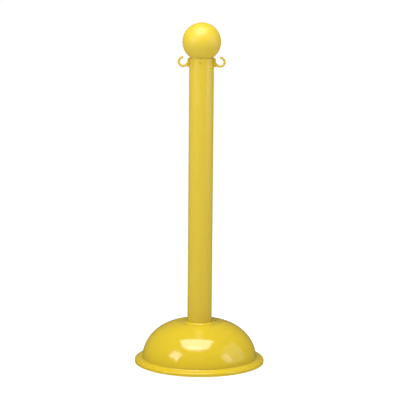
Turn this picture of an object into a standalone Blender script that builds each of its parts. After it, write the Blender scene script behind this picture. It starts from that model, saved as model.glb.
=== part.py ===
"""Free-standing plastic chain stanchion, built as separate moulded pieces.

Frame: +Z up, origin on the floor at the centre of the base, chain hooks on the X axis.
Metres throughout. Every piece hangs on its parent: ball and hooks on the post, post in the base.
"""
import math

import bmesh
import bpy
from mathutils import Matrix

# ---- Driving dimensions -------------------------------------------------------------------
TURN_STEPS = 48             # facets of the large round pieces
SMALL_STEPS = 16            # facets of screws, plug, stems and holes
CLEARANCE = 0.0003          # gap between faces that touch on the real object
SLIDE_FIT = 0.0004          # radial gap of a post or plug in its bore
MERGE = 0.00001             # merge distance of turned shapes

# Post
POST_RADIUS = 0.0381
POST_WALL = 0.0035
POST_LENGTH = 0.940
POST_EDGE = 0.0008          # chamfer at both ends
HOLE_RADIUS = 0.0032
HOLE_DROP = 0.015           # hook holes below the top of the post
SPARE_DEPTH = 0.0016        # blind spare holes for two more hooks

# Ball
BALL_RADIUS = 0.0594
BALL_WALL = 0.0028
BALL_SEAT_OVERHANG = 0.0015 # flat underside of the ball, past the post
SHOULDER_HEIGHT = 0.0055    # shoulder between ball and post, which rests on the post
SHOULDER_INSET = 0.0012     # shoulder inside the post's surface
NECK_TO_STEM = 0.0018       # wide part of the neck to the hook holes below it
TAIL_DEPTH = 0.040          # narrow guide tail, measured from the top of the post

# Chain hook
HOOK_WIRE_RADIUS = 0.0034
HOOK_RING_RADIUS = 0.0136   # to the middle of the wire
HOOK_REACH = 0.0194         # ring centre, measured from the post's surface
HOOK_RING_LIFT = 0.0035     # ring centre above the hook hole
HOOK_START, HOOK_END = 230.0, 437.0     # degrees, from where the ring leaves its root to its tip
HOOK_ROOT_SWELL = 1.25      # the root is thicker than the wire by this factor
PAD_HEIGHT = 0.026
PAD_WIDTH = 0.020
PAD_LIFT = 0.0015           # pad centre above the hook hole
PAD_TOP_THICKNESS = 0.0042
PAD_FOOT_THICKNESS = 0.0078
PAD_CORNER = 0.005
STEM_GAP = 0.0005           # stem in its hole
BARB_GAP = 0.0002           # barb in its hole, once squeezed
STEM_INSIDE = 0.0055        # how far the stem reaches past the post's wall
STEM_SLOT = 0.0012
TAIL_TO_STEM = 0.0011       # neck tail to the hooks' stems

# Base
BRIM_WIDTH = 0.0237         # outside the dome's foot
BRIM_EDGE_HEIGHT = 0.0110
BRIM_EDGE_ROUND = 0.0045
DOME_FOOT_RADIUS = 0.1795
DOME_FOOT_HEIGHT = 0.0150
DOME_RISE = 0.1190
DOME_SIDE_POWER = 0.747     # lower is a steeper side
DOME_CROWN_POWER = 1.1
DOME_SEGMENTS = 11
FOOT_FILLET = 0.004
BASE_WALL = 0.0035
CROWN_RADIUS = 0.080        # inside it the dome levels off towards the collar
CROWN_EASE = 0.014          # how far it takes to become level
COLLAR_RISE = 0.0024        # rounded collar above the crown, where the post comes out
COLLAR_WIDTH = 0.0085
SOCKET_FLOOR_WALL = 0.0035
SOCKET_FLOOR_GAP = 0.0019   # socket above the closing plate
LEDGE_WIDTH = 0.017
LEDGE_THICKNESS = 0.004
BOSS_RADIUS = 0.0055
BOSS_HEIGHT = 0.011         # above the ledge

# Closing plate, its screws and its seal
SCREW_COUNT = 6
PLATE_THICKNESS = 0.003
PLATE_EDGE_GAP = 0.0005
PLATE_BEAD_MARGINS = (0.012, 0.015)     # outside the socket, inside the ledge
PLATE_BEAD_WIDTH = 0.006
PLATE_BEAD_DROP = 0.0015
SEAL_THICKNESS = 0.0015
SEAL_MARGIN = 0.001
SCREW_RADIUS = 0.002
SCREW_HEAD_RADIUS = 0.0042
SCREW_HEAD_HEIGHT = 0.0028
SCREW_LENGTH = 0.0135
SCREW_HOLE_GAP = 0.0005

# Fill plug
FLOOR_GAP = 0.0015          # plug flange above the floor
PLUG_RADIUS = 0.0146
PLUG_HEIGHT = 0.012         # body above the flange
PLUG_WALL = 0.0025
PLUG_FLANGE_RADIUS = 0.020
PLUG_FLANGE_THICKNESS = 0.0025
WASHER_THICKNESS = 0.0015
WASHER_MARGIN = 0.0005

# Ballast
BALLAST_TOP = 0.085
BALLAST_GAP = 0.001
PLUG_POCKET_GAP = 0.001

# ---- Values that follow -------------------------------------------------------------------
POST_BORE = POST_RADIUS - POST_WALL
BALL_SEAT_RADIUS = POST_RADIUS + BALL_SEAT_OVERHANG
NECK_RADIUS = POST_BORE - CLEARANCE
SHOULDER_RADIUS = POST_RADIUS - SHOULDER_INSET
NECK_DEPTH = HOLE_DROP - HOLE_RADIUS - NECK_TO_STEM
STEM_END = POST_BORE - STEM_INSIDE
TAIL_RADIUS = STEM_END - TAIL_TO_STEM
SOCKET_RADIUS = POST_RADIUS + SLIDE_FIT
SOCKET_OUTER = SOCKET_RADIUS + BASE_WALL
BRIM_RADIUS = DOME_FOOT_RADIUS + BRIM_WIDTH
SKIRT_RADIUS = DOME_FOOT_RADIUS - BASE_WALL
PLATE_BOTTOM = FLOOR_GAP + PLUG_FLANGE_THICKNESS + WASHER_THICKNESS + 2 * CLEARANCE
PLATE_TOP = PLATE_BOTTOM + PLATE_THICKNESS
SOCKET_FLOOR = PLATE_TOP + SOCKET_FLOOR_GAP + SOCKET_FLOOR_WALL
POST_BOTTOM = SOCKET_FLOOR + CLEARANCE
POST_TOP = POST_BOTTOM + POST_LENGTH
LEDGE_BOTTOM = PLATE_TOP + SEAL_THICKNESS + 2 * CLEARANCE
LEDGE_TOP = LEDGE_BOTTOM + LEDGE_THICKNESS
LEDGE_INNER = SKIRT_RADIUS - LEDGE_WIDTH
SCREW_CIRCLE = (SKIRT_RADIUS + LEDGE_INNER) / 2
PLATE_RADIUS = SKIRT_RADIUS - PLATE_EDGE_GAP
PLATE_BEAD_RADII = (SOCKET_OUTER + PLATE_BEAD_MARGINS[0], LEDGE_INNER - PLATE_BEAD_MARGINS[1])
PLUG_OFFSET = sum(PLATE_BEAD_RADII) / 2     # behind the axis, midway between the beads

YELLOW_TUBE = (0.80, 0.63, 0.08)
YELLOW_MOULDED = (0.84, 0.66, 0.04)
BLACK_RUBBER = (0.02, 0.02, 0.02)
ZINC = (0.60, 0.60, 0.58)
SAND = (0.42, 0.34, 0.22)


# ---- Helpers ------------------------------------------------------------------------------
def clear_scene():
    for item in list(bpy.data.objects):
        bpy.data.objects.remove(item, do_unlink=True)


def make_collection(name):
    group = bpy.data.collections.new(name)
    bpy.context.scene.collection.children.link(group)
    return group


def make_material(name, colour, roughness, metallic=0.0):
    material = bpy.data.materials.new(name)
    material.use_nodes = True
    shader = material.node_tree.nodes["Principled BSDF"]
    shader.inputs["Base Color"].default_value = (*colour, 1.0)
    shader.inputs["Roughness"].default_value = roughness
    shader.inputs["Metallic"].default_value = metallic
    return material


def arc(centre, radius, start, end, count):
    """Points (x, z) on an arc, from start to end in degrees."""
    angles = [math.radians(start + (end - start) * i / count) for i in range(count + 1)]
    return [(centre[0] + radius * math.cos(a), centre[1] + radius * math.sin(a)) for a in angles]


def turned(name, profile, group, steps=TURN_STEPS, closed=False):
    """Object turned round Z from a profile of (x, z) points that runs down its outer side."""
    mesh = bpy.data.meshes.new(name)
    edges = [(i, i + 1) for i in range(len(profile) - 1)]
    if closed:
        edges.append((len(profile) - 1, 0))
    mesh.from_pydata([(x, 0.0, z) for x, z in profile], edges, [])
    item = bpy.data.objects.new(name, mesh)
    group.objects.link(item)
    screw = item.modifiers.new("Turn", "SCREW")
    screw.steps = steps
    screw.render_steps = steps
    screw.use_merge_vertices = True
    screw.merge_threshold = MERGE
    return item


def rod(name, radius, length, group, steps=SMALL_STEPS, matrix=Matrix()):
    """Cylinder that starts at its origin and runs along its own +Z."""
    body = bmesh.new()
    bmesh.ops.create_cone(body, cap_ends=True, segments=steps, radius1=radius, radius2=radius,
                          depth=length, matrix=matrix @ Matrix.Translation((0, 0, length / 2)))
    mesh = bpy.data.meshes.new(name)
    body.to_mesh(mesh)
    body.free()
    item = bpy.data.objects.new(name, mesh)
    group.objects.link(item)
    return item


def rods(name, places, radius, low, high, group, steps=SMALL_STEPS):
    """One object with an upright cylinder at each (x, y) of places."""
    body = bmesh.new()
    for x, y in places:
        middle = Matrix.Translation((x, y, (low + high) / 2))
        bmesh.ops.create_cone(body, cap_ends=True, segments=steps, radius1=radius, radius2=radius,
                              depth=high - low, matrix=middle)
    mesh = bpy.data.meshes.new(name)
    body.to_mesh(mesh)
    body.free()
    item = bpy.data.objects.new(name, mesh)
    group.objects.link(item)
    return item


def box(name, size, centre, group):
    body = bmesh.new()
    place = Matrix.Translation(centre) @ Matrix.Diagonal((*size, 1.0))
    bmesh.ops.create_cube(body, size=1.0, matrix=place)
    mesh = bpy.data.meshes.new(name)
    body.to_mesh(mesh)
    body.free()
    item = bpy.data.objects.new(name, mesh)
    group.objects.link(item)
    return item


def combine(item, tool, operation):
    """Boolean with a helper object, which stays hidden from renders."""
    tool.hide_render = True
    tool.display_type = "WIRE"
    modifier = item.modifiers.new(operation.title(), "BOOLEAN")
    modifier.operation = operation
    modifier.solver = "EXACT"
    modifier.object = tool


def settled_mesh(item, name):
    """Mesh of the object as its modifiers leave it, welded. The object itself is removed."""
    bpy.context.view_layer.update()
    graph = bpy.context.evaluated_depsgraph_get()
    mesh = bpy.data.meshes.new_from_object(item.evaluated_get(graph))
    mesh.name = name
    body = bmesh.new()
    body.from_mesh(mesh)
    bmesh.ops.remove_doubles(body, verts=body.verts, dist=MERGE)
    body.to_mesh(mesh)
    body.free()
    bpy.data.objects.remove(item, do_unlink=True)
    return mesh


def finish(item, material, parent=None, place=(0.0, 0.0, 0.0), sharp_angle=35.0):
    item.data.materials.append(material)
    item.data.shade_smooth()
    item.data.set_sharp_from_angle(angle=math.radians(sharp_angle))
    item.location = place
    item.parent = parent
    return item


def screw_places():
    turns = [2 * math.pi * (i + 0.5) / SCREW_COUNT for i in range(SCREW_COUNT)]
    return [(SCREW_CIRCLE * math.cos(a), SCREW_CIRCLE * math.sin(a)) for a in turns]


def dome_point(turn, inset):
    """Point of the dome's outline, moved in by inset. turn runs from 0 at its foot to 90 degrees."""
    x = (DOME_FOOT_RADIUS - inset) * math.cos(turn) ** DOME_SIDE_POWER
    z = DOME_FOOT_HEIGHT + (DOME_RISE - inset) * math.sin(turn) ** DOME_CROWN_POWER
    return x, z


def dome_turn_at(radius, inset):
    """The turn at which the dome's outline reaches a radius."""
    return math.acos((radius / (DOME_FOOT_RADIUS - inset)) ** (1 / DOME_SIDE_POWER))


def dome_turn_at_height(height, inset):
    """The turn at which the dome's outline reaches a height."""
    return math.asin(((height - DOME_FOOT_HEIGHT) / (DOME_RISE - inset)) ** (1 / DOME_CROWN_POWER))


# ---- Base ---------------------------------------------------------------------------------
def crown_height(radius, inset):
    """Height of the crown at a radius inside CROWN_RADIUS, where the dome eases to level."""
    start = dome_point(dome_turn_at(CROWN_RADIUS, inset), inset)[1]
    before = dome_point(dome_turn_at(CROWN_RADIUS + CROWN_EASE / 10, inset), inset)[1]
    slope = (start - before) / (CROWN_EASE / 10)
    way = min(CROWN_RADIUS - radius, CROWN_EASE)
    return start + slope * (way - way ** 2 / (2 * CROWN_EASE))


def base_profile():
    """Closed section of the base, from the socket floor over the dome and brim and back inside."""
    collar_radius = SOCKET_RADIUS + COLLAR_WIDTH
    last_turn = dome_turn_at(CROWN_RADIUS, 0.0)
    collar_base = crown_height(collar_radius, 0.0)
    collar_top = collar_base + COLLAR_RISE
    bead = COLLAR_WIDTH / 2
    points = [(0.0, SOCKET_FLOOR), (SOCKET_RADIUS, SOCKET_FLOOR), (SOCKET_RADIUS, collar_base)]
    points += [(SOCKET_RADIUS + bead * (1 - math.cos(math.radians(a))),
                collar_base + (collar_top - collar_base) * math.sin(math.radians(a)))
               for a in (40, 75, 105, 140)]
    crown_end = CROWN_RADIUS - CROWN_EASE
    crown = [crown_end + CROWN_EASE * i / 3 for i in range(3)]
    points += [(r, crown_height(r, 0.0)) for r in [collar_radius] + crown]
    points += [dome_point(last_turn * (1 - i / DOME_SEGMENTS), 0.0) for i in range(DOME_SEGMENTS)]
    fillet_centre = (DOME_FOOT_RADIUS + FOOT_FILLET, DOME_FOOT_HEIGHT + FOOT_FILLET * 0.7)
    points += arc(fillet_centre, FOOT_FILLET, 190, 262, 3)
    edge_centre = (BRIM_RADIUS - BRIM_EDGE_ROUND, BRIM_EDGE_HEIGHT - BRIM_EDGE_ROUND)
    points += arc(edge_centre, BRIM_EDGE_ROUND, 78, 0, 4)
    brim_ceiling = BRIM_EDGE_HEIGHT - BASE_WALL
    points += [(BRIM_RADIUS, 0.0), (BRIM_RADIUS - BASE_WALL, 0.0),
               (BRIM_RADIUS - BASE_WALL, brim_ceiling), (DOME_FOOT_RADIUS, brim_ceiling),
               (DOME_FOOT_RADIUS, 0.0), (SKIRT_RADIUS, 0.0),
               (SKIRT_RADIUS, LEDGE_BOTTOM), (LEDGE_INNER, LEDGE_BOTTOM),
               (LEDGE_INNER, LEDGE_TOP)]
    inner_first = dome_turn_at_height(max(LEDGE_TOP, DOME_FOOT_HEIGHT), BASE_WALL)
    inner_step = (dome_turn_at(CROWN_RADIUS, BASE_WALL) - inner_first) / DOME_SEGMENTS
    points += [dome_point(inner_first + inner_step * i, BASE_WALL) for i in range(DOME_SEGMENTS + 1)]
    points += [(r, crown_height(r, BASE_WALL)) for r in crown[::-1] + [SOCKET_OUTER]]
    socket_bottom = SOCKET_FLOOR - SOCKET_FLOOR_WALL
    points += [(SOCKET_OUTER, socket_bottom), (0.0, socket_bottom)]
    return points


def build_base(group, cutters, material):
    base = turned("base_dome", base_profile(), group)
    bosses = rods("boss_shapes", screw_places(), BOSS_RADIUS, LEDGE_BOTTOM + LEDGE_THICKNESS / 2,
                  LEDGE_TOP + BOSS_HEIGHT, cutters)
    combine(base, bosses, "UNION")
    pilot_top = PLATE_BOTTOM + SCREW_LENGTH + CLEARANCE
    pilots = rods("pilot_holes", screw_places(), SCREW_RADIUS + CLEARANCE, 0.0, pilot_top, cutters)
    combine(base, pilots, "DIFFERENCE")
    return finish(base, material)


def build_plate(group, cutters, material, base):
    points = [(0.0, PLATE_TOP), (PLATE_RADIUS, PLATE_TOP), (PLATE_RADIUS, PLATE_BOTTOM)]
    for radius in reversed(PLATE_BEAD_RADII):
        bead_z = PLATE_BOTTOM - PLATE_BEAD_DROP
        points += [(radius + PLATE_BEAD_WIDTH / 2, PLATE_BOTTOM), (radius + PLATE_BEAD_WIDTH / 4, bead_z),
                   (radius - PLATE_BEAD_WIDTH / 4, bead_z), (radius - PLATE_BEAD_WIDTH / 2, PLATE_BOTTOM)]
    points.append((0.0, PLATE_BOTTOM))
    plate = turned("bottom_plate", points, group)
    combine(plate, screw_clearance_holes(cutters), "DIFFERENCE")
    plug_hole = rods("plug_hole", [(0.0, PLUG_OFFSET)], PLUG_RADIUS + SLIDE_FIT, 0.0,
                     PLATE_TOP + PLATE_THICKNESS, cutters, TURN_STEPS // 2)
    combine(plate, plug_hole, "DIFFERENCE")
    return finish(plate, material, base)


def screw_clearance_holes(cutters):
    return rods("screw_clearance", screw_places(), SCREW_RADIUS + SCREW_HOLE_GAP, 0.0,
                LEDGE_BOTTOM + LEDGE_THICKNESS, cutters)


def build_seal(group, cutters, material, base):
    low = PLATE_TOP + CLEARANCE
    high = low + SEAL_THICKNESS
    inner = LEDGE_INNER + SEAL_MARGIN
    outer = SKIRT_RADIUS - SEAL_MARGIN
    seal = turned("plate_seal", [(outer, high), (outer, low), (inner, low), (inner, high)], group,
                  closed=True)
    combine(seal, screw_clearance_holes(cutters), "DIFFERENCE")
    return finish(seal, material, base)


def screw_mesh(group):
    """Pan-head screw, head down, with its origin under the plate and its tip at the top."""
    tip = SCREW_LENGTH
    point = SCREW_RADIUS
    head = -SCREW_HEAD_HEIGHT
    profile = [(0.0, tip), (SCREW_RADIUS, tip - point), (SCREW_RADIUS, -CLEARANCE),
               (SCREW_HEAD_RADIUS, -CLEARANCE), (SCREW_HEAD_RADIUS, head * 0.45),
               (SCREW_HEAD_RADIUS * 0.8, head * 0.85), (SCREW_HEAD_RADIUS * 0.4, head), (0.0, head)]
    return settled_mesh(turned("screw_form", profile, group, SMALL_STEPS), "plate_screw")


def build_screws(group, material, base):
    mesh = screw_mesh(group)
    mesh.materials.append(material)
    mesh.shade_smooth()
    mesh.set_sharp_from_angle(angle=math.radians(35))
    for number, (x, y) in enumerate(screw_places(), start=1):
        screw = bpy.data.objects.new(f"plate_screw_{number}", mesh)
        screw.location = (x, y, PLATE_BOTTOM)
        screw.parent = base
        group.objects.link(screw)


def build_plug(group, cutters, material, base):
    """Push-in plug, hollow from above, with a coin slot across its flange."""
    top = PLUG_FLANGE_THICKNESS + PLUG_HEIGHT
    profile = [(0.0, PLUG_FLANGE_THICKNESS), (PLUG_RADIUS - PLUG_WALL, PLUG_FLANGE_THICKNESS),
               (PLUG_RADIUS - PLUG_WALL, top), (PLUG_RADIUS - PLUG_WALL / 2, top),
               (PLUG_RADIUS, top - PLUG_WALL / 2), (PLUG_RADIUS, PLUG_FLANGE_THICKNESS),
               (PLUG_FLANGE_RADIUS, PLUG_FLANGE_THICKNESS), (PLUG_FLANGE_RADIUS, PLUG_FLANGE_THICKNESS / 2),
               (PLUG_FLANGE_RADIUS - PLUG_FLANGE_THICKNESS / 2, 0.0), (0.0, 0.0)]
    plug = turned("fill_plug", profile, group, TURN_STEPS // 2)
    slot_depth = PLUG_FLANGE_THICKNESS / 2
    place = (0.0, PLUG_OFFSET, FLOOR_GAP)
    slot = box("coin_slot", (PLUG_RADIUS * 1.5, PLUG_WALL, slot_depth * 2), place, cutters)
    combine(plug, slot, "DIFFERENCE")
    return finish(plug, material, base, place)


def build_washer(group, material, plug):
    low = PLUG_FLANGE_THICKNESS + CLEARANCE
    high = low + WASHER_THICKNESS
    inner = PLUG_RADIUS + CLEARANCE
    outer = PLUG_FLANGE_RADIUS - WASHER_MARGIN
    washer = turned("plug_washer", [(outer, high), (outer, low), (inner, low), (inner, high)],
                    group, TURN_STEPS // 2, closed=True)
    return finish(washer, material, plug)


def build_ballast(group, cutters, material, base):
    """Sand that fills the chamber between socket and dome, narrower beside the screw bosses."""
    inset = BASE_WALL + BALLAST_GAP
    shelf = LEDGE_TOP + BOSS_HEIGHT + BALLAST_GAP
    first = dome_turn_at_height(shelf, inset)
    last = dome_turn_at_height(BALLAST_TOP, inset)
    inner = SOCKET_OUTER + BALLAST_GAP
    lower_radius = LEDGE_INNER - BALLAST_GAP
    bottom = PLATE_TOP + CLEARANCE
    points = [(inner, BALLAST_TOP)]
    points += [dome_point(last + (first - last) * i / DOME_SEGMENTS, inset) for i in range(DOME_SEGMENTS + 1)]
    points += [(lower_radius, shelf), (lower_radius, bottom), (inner, bottom)]
    ballast = turned("ballast", points, group, closed=True)
    plug_top = FLOOR_GAP + PLUG_FLANGE_THICKNESS + PLUG_HEIGHT
    pocket = rods("plug_pocket", [(0.0, PLUG_OFFSET)], PLUG_RADIUS + PLUG_POCKET_GAP, 0.0,
                  plug_top + PLUG_POCKET_GAP, cutters, TURN_STEPS // 2)
    combine(ballast, pocket, "DIFFERENCE")
    return finish(ballast, material, base)


# ---- Post and ball ------------------------------------------------------------------------
def build_post(group, cutters, material, base):
    edge = POST_EDGE
    profile = [(POST_BORE, POST_LENGTH), (POST_RADIUS - edge, POST_LENGTH),
               (POST_RADIUS, POST_LENGTH - edge), (POST_RADIUS, edge), (POST_RADIUS - edge, 0.0),
               (POST_BORE, 0.0)]
    post = turned("post_tube", profile, group, closed=True)
    reach = POST_RADIUS * 1.5
    spare_start = POST_RADIUS - SPARE_DEPTH
    for name, angle, axis, start, end in (
            ("hook_holes", math.pi / 2, (0, 1, 0), -reach, reach),
            ("front_spare_hole", math.pi / 2, (1, 0, 0), spare_start, reach),
            ("back_spare_hole", -math.pi / 2, (1, 0, 0), spare_start, reach)):
        along = Matrix.Rotation(angle, 4, axis) @ Matrix.Translation((0, 0, start))
        cutter = rod(name, HOLE_RADIUS, end - start, cutters, matrix=along)
        cutter.location = (0.0, 0.0, POST_TOP - HOLE_DROP)
        combine(post, cutter, "DIFFERENCE")
    return finish(post, material, base, (0.0, 0.0, POST_BOTTOM))


def build_ball(group, material, post):
    """Hollow ball, open at the bottom of its tail. Its origin is at the top of the post."""
    under = SHOULDER_HEIGHT
    centre = under + math.sqrt(BALL_RADIUS ** 2 - BALL_SEAT_RADIUS ** 2)
    outer_end = math.degrees(math.asin((under - centre) / BALL_RADIUS))
    inner_radius = BALL_RADIUS - BALL_WALL
    inner_floor = under + BALL_WALL
    inner_end = math.degrees(math.asin((inner_floor - centre) / inner_radius))
    step = -NECK_DEPTH
    tail_bore = TAIL_RADIUS - BALL_WALL
    profile = arc((0.0, centre), BALL_RADIUS, 90, outer_end, 14)
    profile += [(SHOULDER_RADIUS, under), (SHOULDER_RADIUS, CLEARANCE), (NECK_RADIUS, CLEARANCE),
                (NECK_RADIUS, step + BALL_WALL / 2),
                (NECK_RADIUS - BALL_WALL / 2, step), (TAIL_RADIUS, step), (TAIL_RADIUS, -TAIL_DEPTH),
                (tail_bore, -TAIL_DEPTH), (tail_bore, step + BALL_WALL),
                (NECK_RADIUS - BALL_WALL, step + BALL_WALL), (NECK_RADIUS - BALL_WALL, inner_floor)]
    profile += arc((0.0, centre), inner_radius, inner_end, 90, 11)
    profile[0] = (0.0, centre + BALL_RADIUS)
    profile[-1] = (0.0, centre + inner_radius)
    ball = turned("ball_top", profile, group)
    return finish(ball, material, post, (0.0, 0.0, POST_LENGTH))


# ---- Chain hooks --------------------------------------------------------------------------
def hook_path():
    """Points (x, z) of the hook's wire: a straight root out of the pad, then the ring to its tip."""
    centre = (POST_RADIUS + HOOK_REACH, HOOK_RING_LIFT)
    ring = arc(centre, HOOK_RING_RADIUS, HOOK_START, HOOK_END, 20)
    back = math.radians(HOOK_START)
    root_x = POST_RADIUS + CLEARANCE + 0.4 * PAD_FOOT_THICKNESS
    length = (root_x - ring[0][0]) / math.sin(back)
    root = (root_x, ring[0][1] - length * math.cos(back))
    tip_step = math.degrees(HOOK_WIRE_RADIUS / HOOK_RING_RADIUS)
    tip = arc(centre, HOOK_RING_RADIUS, HOOK_END + tip_step * 0.6, HOOK_END + tip_step * 0.9, 1)
    return [root] + ring + tip


def hook_ring(group):
    """Open ring of round wire that thins to a rounded tip."""
    curve = bpy.data.curves.new("hook_ring", "CURVE")
    curve.dimensions = "3D"
    curve.bevel_depth = HOOK_WIRE_RADIUS
    curve.bevel_resolution = 2
    curve.use_fill_caps = True
    path = hook_path()
    spline = curve.splines.new("POLY")
    spline.points.add(len(path) - 1)
    for point, (x, z) in zip(spline.points, path):
        point.co = (x, 0.0, z, 1.0)
    spline.points[0].radius = HOOK_ROOT_SWELL
    spline.points[-2].radius = 0.8
    spline.points[-1].radius = 0.44
    ring = bpy.data.objects.new("hook_ring", curve)
    group.objects.link(ring)
    return ring


def hook_pad(group, cutters):
    """Saddle pad: a rounded plate cut from a ring that fits the post and thickens downwards."""
    outline = bpy.data.curves.new("pad_outline", "CURVE")
    outline.dimensions = "2D"
    outline.fill_mode = "BOTH"
    outline.extrude = POST_RADIUS / 2
    corners = []
    half_width = PAD_WIDTH / 2 - PAD_CORNER
    half_height = PAD_HEIGHT / 2 - PAD_CORNER
    for x, y, start in ((1, 1, 0), (-1, 1, 90), (-1, -1, 180), (1, -1, 270)):
        corners += arc((x * half_width, y * half_height), PAD_CORNER, start, start + 90, 4)
    spline = outline.splines.new("POLY")
    spline.points.add(len(corners) - 1)
    for point, (x, y) in zip(spline.points, corners):
        point.co = (x, y, 0.0, 1.0)
    spline.use_cyclic_u = True
    form = bpy.data.objects.new("pad_form", outline)
    turn = Matrix.Rotation(math.pi / 2, 4, "Z") @ Matrix.Rotation(math.pi / 2, 4, "X")
    form.matrix_world = Matrix.Translation((POST_RADIUS, 0.0, PAD_LIFT)) @ turn
    group.objects.link(form)
    bpy.context.view_layer.update()
    place = form.matrix_world.copy()
    pad = bpy.data.objects.new("hook_pad", settled_mesh(form, "hook_pad"))
    pad.matrix_world = place
    group.objects.link(pad)
    inner = POST_RADIUS + CLEARANCE
    top = PAD_LIFT + PAD_HEIGHT / 2
    foot = PAD_LIFT - PAD_HEIGHT / 2
    ring = turned("pad_ring", [(inner, top + PAD_CORNER), (inner + PAD_TOP_THICKNESS, top + PAD_CORNER),
                               (inner + PAD_TOP_THICKNESS, top), (inner + PAD_FOOT_THICKNESS, foot),
                               (inner + PAD_FOOT_THICKNESS, foot - PAD_CORNER), (inner, foot - PAD_CORNER)],
                  cutters, 2 * TURN_STEPS, closed=True)
    combine(pad, ring, "INTERSECT")
    return pad


def hook_stem(group, cutters):
    """Stem through the hole, with a barb inside the post and a slot that lets it squeeze."""
    neck = HOLE_RADIUS - STEM_GAP
    barb = HOLE_RADIUS - BARB_GAP
    length = POST_RADIUS + CLEARANCE + PAD_TOP_THICKNESS / 2 - STEM_END
    barb_end = STEM_INSIDE - CLEARANCE
    profile = [(0.0, length), (neck, length), (neck, barb_end), (barb, barb_end - (barb - neck)),
               (barb, barb_end / 2), (neck * 0.75, 0.0), (0.0, 0.0)]
    stem = turned("hook_stem", profile, group, SMALL_STEPS)
    stem.matrix_world = Matrix.Translation((STEM_END, 0, 0)) @ Matrix.Rotation(math.pi / 2, 4, "Y")
    slot_end = POST_BORE + POST_WALL / 2
    slot_start = STEM_END - STEM_SLOT
    slot = box("stem_slot", (slot_end - slot_start, STEM_SLOT, 4 * HOLE_RADIUS),
               ((slot_start + slot_end) / 2, 0.0, 0.0), cutters)
    combine(stem, slot, "DIFFERENCE")
    return stem


def hook_mesh(group, cutters):
    """One closed hook: ring, pad and stem, with its origin on the post's axis at the hole."""
    pad = hook_pad(group, cutters)
    wire = bpy.data.objects.new("hook_wire", settled_mesh(hook_ring(group), "hook_wire"))
    cutters.objects.link(wire)
    stem = hook_stem(group, cutters)
    combine(pad, wire, "UNION")
    combine(pad, stem, "UNION")
    bpy.context.view_layer.update()
    place = pad.matrix_world.copy()
    mesh = settled_mesh(pad, "chain_hook")
    mesh.transform(place)
    bpy.data.objects.remove(stem, do_unlink=True)
    return mesh


def build_hooks(group, cutters, material, post):
    mesh = hook_mesh(group, cutters)
    mesh.materials.append(material)
    mesh.shade_smooth()
    mesh.set_sharp_from_angle(angle=math.radians(40))
    for name, turn in (("chain_hook_right", 0.0), ("chain_hook_left", math.pi)):
        hook = bpy.data.objects.new(name, mesh)
        hook.location = (0.0, 0.0, POST_LENGTH - HOLE_DROP)
        hook.rotation_euler = (0.0, 0.0, turn)
        hook.parent = post
        group.objects.link(hook)


# ---- Whole object -------------------------------------------------------------------------
def build():
    clear_scene()
    parts = make_collection("chain_stanchion")
    cutters = make_collection("cutters")
    tube = make_material("extruded_yellow", YELLOW_TUBE, 0.38)
    moulded = make_material("moulded_yellow", YELLOW_MOULDED, 0.30)
    hook_plastic = make_material("hook_yellow", YELLOW_MOULDED, 0.35)
    rubber = make_material("black_rubber", BLACK_RUBBER, 0.75)
    steel = make_material("zinc_steel", ZINC, 0.35, 1.0)
    sand = make_material("sand", SAND, 0.95)

    base = build_base(parts, cutters, moulded)
    build_plate(parts, cutters, moulded, base)
    build_seal(parts, cutters, rubber, base)
    build_screws(parts, steel, base)
    plug = build_plug(parts, cutters, moulded, base)
    build_washer(parts, rubber, plug)
    build_ballast(parts, cutters, sand, base)
    post = build_post(parts, cutters, tube, base)
    build_ball(parts, moulded, post)
    build_hooks(parts, cutters, hook_plastic, post)


build()
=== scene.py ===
"""Looks of the plastic chain stanchion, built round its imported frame.

Ball top, post and base are turned shells in yellow polyethylene, the hooks are one-piece mouldings,
and the base is closed from below by a screwed plate with a fill plug. Metres, +Z up.
"""

import logging
import math
from collections.abc import Callable
from dataclasses import dataclass, field
from enum import Enum

import bmesh
import bpy
from mathutils import Matrix, Vector


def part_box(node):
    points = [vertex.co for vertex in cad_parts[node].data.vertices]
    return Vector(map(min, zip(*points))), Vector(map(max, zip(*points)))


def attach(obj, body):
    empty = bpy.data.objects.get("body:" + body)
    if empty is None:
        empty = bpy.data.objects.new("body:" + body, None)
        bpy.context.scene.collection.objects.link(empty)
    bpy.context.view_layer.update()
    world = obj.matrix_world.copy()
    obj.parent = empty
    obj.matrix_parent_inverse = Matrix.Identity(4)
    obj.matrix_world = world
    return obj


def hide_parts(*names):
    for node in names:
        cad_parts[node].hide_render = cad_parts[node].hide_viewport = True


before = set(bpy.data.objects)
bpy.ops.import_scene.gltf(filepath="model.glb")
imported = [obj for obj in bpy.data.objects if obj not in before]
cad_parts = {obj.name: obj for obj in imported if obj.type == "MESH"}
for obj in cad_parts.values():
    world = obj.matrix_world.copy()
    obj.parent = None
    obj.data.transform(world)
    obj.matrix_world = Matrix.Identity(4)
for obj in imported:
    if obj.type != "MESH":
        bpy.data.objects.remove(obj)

LOG = logging.getLogger("stanchion")
MM = 0.001
WELD = 0.000002
SMOOTH_BELOW = math.radians(28)
Point = tuple[float, float]


# ---- Node and colour helpers --------------------------------------------------------------
def linear(code: str) -> tuple[float, float, float, float]:
    """Turn an sRGB hex colour into linear RGBA.

    Args:
        code: six hex digits after a hash sign.

    Returns:
        Linear red, green and blue, and an alpha of one.
    """
    parts = [int(code[i:i + 2], 16) / 255 for i in (1, 3, 5)]
    red, green, blue = [p / 12.92 if p <= 0.04045 else ((p + 0.055) / 1.055) ** 2.4 for p in parts]
    return red, green, blue, 1.0


def feed(node: bpy.types.Node, inputs: dict) -> None:
    """Give a node's inputs their values and links.

    Args:
        node: the node.
        inputs: what each input, by name or number, takes: a value or another node's output.
    """
    for key, value in inputs.items():
        if isinstance(value, bpy.types.NodeSocket):
            node.id_data.links.new(value, node.inputs[key])
        else:
            node.inputs[key].default_value = value


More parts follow.
